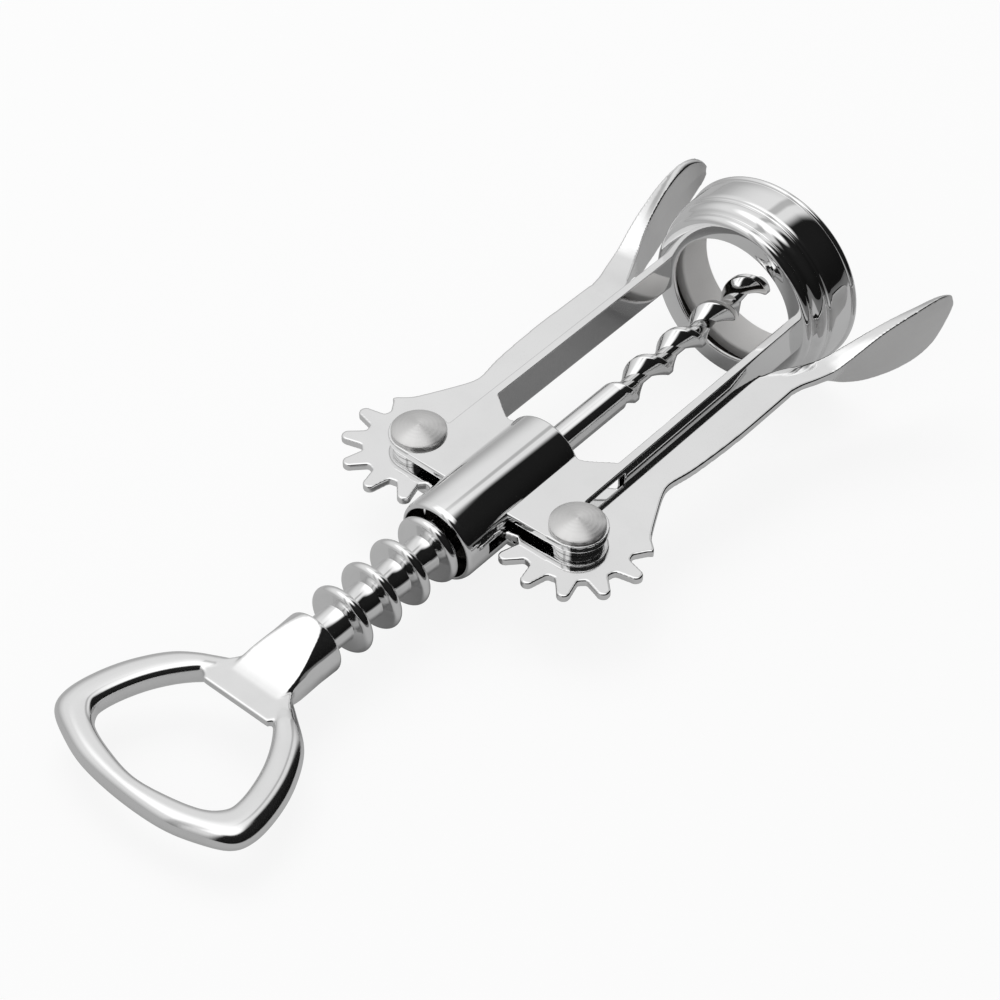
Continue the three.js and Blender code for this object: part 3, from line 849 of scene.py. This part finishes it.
node_finish = {
    "chrome": chrome,
    "worm_chrome": worm_chrome,
    "lever_chrome": lever_chrome,
    "rivet_steel": rivet_steel["right"],
    "liner": liner_grey,
}
slot_of = {"worm": "worm_chrome", "right_lever": "lever_chrome", "left_lever": "lever_chrome"}
slot_of.update({"right_rivet": "rivet_steel", "left_rivet": "rivet_steel", "collar_liner": "liner"})
for name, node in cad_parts.items():
    node.material_slots[0].link = "OBJECT"
    node.material_slots[0].material = node_finish[slot_of.get(name, "chrome")]


# ---------------------------------------------------------------- stage, light, camera

FLOOR_GLOW = 0.86  # how much of the floor seen directly is glow
SHEET_SHARE = 0.8  # how much of the floor seen in metal is the dim sheet
# Tones of the glowing sheet seen in metal: painted reflection grey, painted shadow under the object, painted
# dark band beyond the right edge.
SHEET_GREY = 0.36
SHEET_SHADE = 0.02  # under the object
SHEET_DARK = 0.008  # beyond the right edge
FILL_LEVEL = 0.55  # the world's light on matt surfaces
SENSOR = 36
FOCAL_RATIO = 2.5188  # focal length over sensor width
DISTANCE = 393
AZIMUTH = math.radians(40.27)
ELEVATION = math.radians(44.33)
ROLL = math.radians(0.1)


def floor():
    """A plane under the collar's rim and the far end of the handle, where the object rests.

    It looks pale itself; polished metal sees instead a dim glowing sheet, a painted reflection of the floor,
    with a painted shadow under the object and a painted dark band beyond the right edge that stands in for a
    black screen's reflection.
    """
    bm = bmesh.new()
    bmesh.ops.create_grid(bm, x_segments=1, y_segments=1, size=4)
    obj = mesh_object(bm, "floor")
    handle_low, handle_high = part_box("handle")
    rise = handle_low.z - rim_low.z - 0.0006
    tilt = math.atan2(rise, rim_high.y - handle_low.y)
    obj.data.transform(
        Matrix.Translation((0, rim_high.y, rim_low.z - 0.0002)) @ Matrix.Rotation(-tilt, 4, "X")
    )
    material = bpy.data.materials.new("pale_floor")
    tree = Tree(material)
    rays = ("Is Camera Ray", "Is Glossy Ray", "Is Transmission Ray")
    camera_ray, glossy_ray, clear_ray = tree.outputs("ShaderNodeLightPath", rays)
    matt = tree.add("ShaderNodeBsdfDiffuse", None, {"Color": grey(0.8)})
    glow = tree.add("ShaderNodeEmission", None, {"Color": grey(1.0), "Strength": 1.0})
    pale = (camera_ray + clear_ray) * FLOOR_GLOW
    seen = tree.add("ShaderNodeMixShader", None, {0: pale, 1: matt, 2: glow})
    point = tree.add("ShaderNodeTexCoord", None, (), "Object")
    across, along = tree.outputs("ShaderNodeSeparateXYZ", "XY", {"Vector": point})
    # Masks for the painted dark band and the painted shadow under the object, seen only in metal.
    edge = across.smooth(0.075, 0.105)
    clear = across.absolute().smooth(0.003, 0.013)
    shade = (1 - clear) * along.smooth(-0.052, -0.04) * 0.8
    near = tree.blend(shade, grey(SHEET_GREY), grey(SHEET_SHADE))
    tone = tree.blend(edge, near, grey(SHEET_DARK))
    sheet = tree.add("ShaderNodeEmission", None, {"Color": tone, "Strength": 1.0})
    both = tree.add("ShaderNodeMixShader", None, {0: glossy_ray * SHEET_SHARE, 1: seen, 2: sheet})
    tree.add("ShaderNodeOutputMaterial", None, {"Surface": both})
    obj.data.materials.append(material)
    obj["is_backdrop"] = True


def surroundings():
    """A bright tent overhead and behind, dark on the right where a black screen stands."""
    world = bpy.data.worlds.new("studio")
    bpy.context.scene.world = world
    tree = Tree(world)
    rays = ("Is Camera Ray", "Is Glossy Ray")
    camera_ray, glossy_ray = tree.outputs("ShaderNodeLightPath", rays)
    direction = tree.add("ShaderNodeTexCoord", None, (), "Generated")
    x, y, z = tree.outputs("ShaderNodeSeparateXYZ", "XYZ", {"Vector": direction})
    below_top = 1 - z.smooth(0.86, 0.97)
    top_light = z.smooth(0.7, 0.88) * (1 - y.smooth(0.1, 0.5)) * 0.42
    seam = (x + 0.17).absolute().smooth(0.1, 0.03) * below_top * 0.4
    tent = (0.42 + z.smooth(0.0, 0.7) * 0.37 + top_light) * (1 - seam)
    screen = 1 - x.smooth(0.02, 0.22) * below_top * 0.985
    studio = tent * screen
    level = glossy_ray * studio + (1 - glossy_ray) * FILL_LEVEL
    level = camera_ray + (1 - camera_ray) * level
    light = tree.add("ShaderNodeBackground", None, {"Color": grey(1.0), "Strength": level})
    tree.add("ShaderNodeOutputWorld", None, {"Surface": light})


def softbox(name, place, target, size, power):
    data = bpy.data.lights.new(name, "AREA")
    data.shape = "RECTANGLE"
    data.size, data.size_y = size
    data.energy = power
    lamp = bpy.data.objects.new(name, data)
    lamp.location = place
    lamp.rotation_euler = (Vector(target) - Vector(place)).to_track_quat("-Z", "Y").to_euler()
    lamp.visible_glossy = False
    bpy.context.scene.collection.objects.link(lamp)


def camera():
    """Looks down the object from the handle's end, above its right side."""
    data = bpy.data.cameras.new("camera")
    data.sensor_width = SENSOR
    data.lens = SENSOR * FOCAL_RATIO
    data.clip_start, data.clip_end = 0.01, 20
    obj = bpy.data.objects.new("camera", data)
    flat = math.cos(ELEVATION)
    back = Vector((math.sin(AZIMUTH) * flat, -math.cos(AZIMUTH) * flat, math.sin(ELEVATION)))
    right = Vector((math.cos(AZIMUTH), math.sin(AZIMUTH), 0))
    up = back.cross(right)
    across = right * math.cos(ROLL) + up * math.sin(ROLL)
    rise = up * math.cos(ROLL) - right * math.sin(ROLL)
    place = ORIGIN + (back * DISTANCE + across * 0.5 - rise * 1.1) / MM
    turn = Matrix((across, rise, back)).transposed().to_4x4()
    obj.matrix_world = Matrix.Translation(place) @ turn
    bpy.context.scene.collection.objects.link(obj)
    bpy.context.scene.camera = obj


floor()
surroundings()
softbox("key_light", (-0.35, 0.25, 0.75), (0, 0, 0), (0.6, 0.6), 3.2)
softbox("fill_light", (0.2, -0.6, 0.6), (0, 0, 0), (0.5, 0.5), 1.2)
camera()
bpy.context.scene.view_settings.view_transform = "Standard"

low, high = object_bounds()
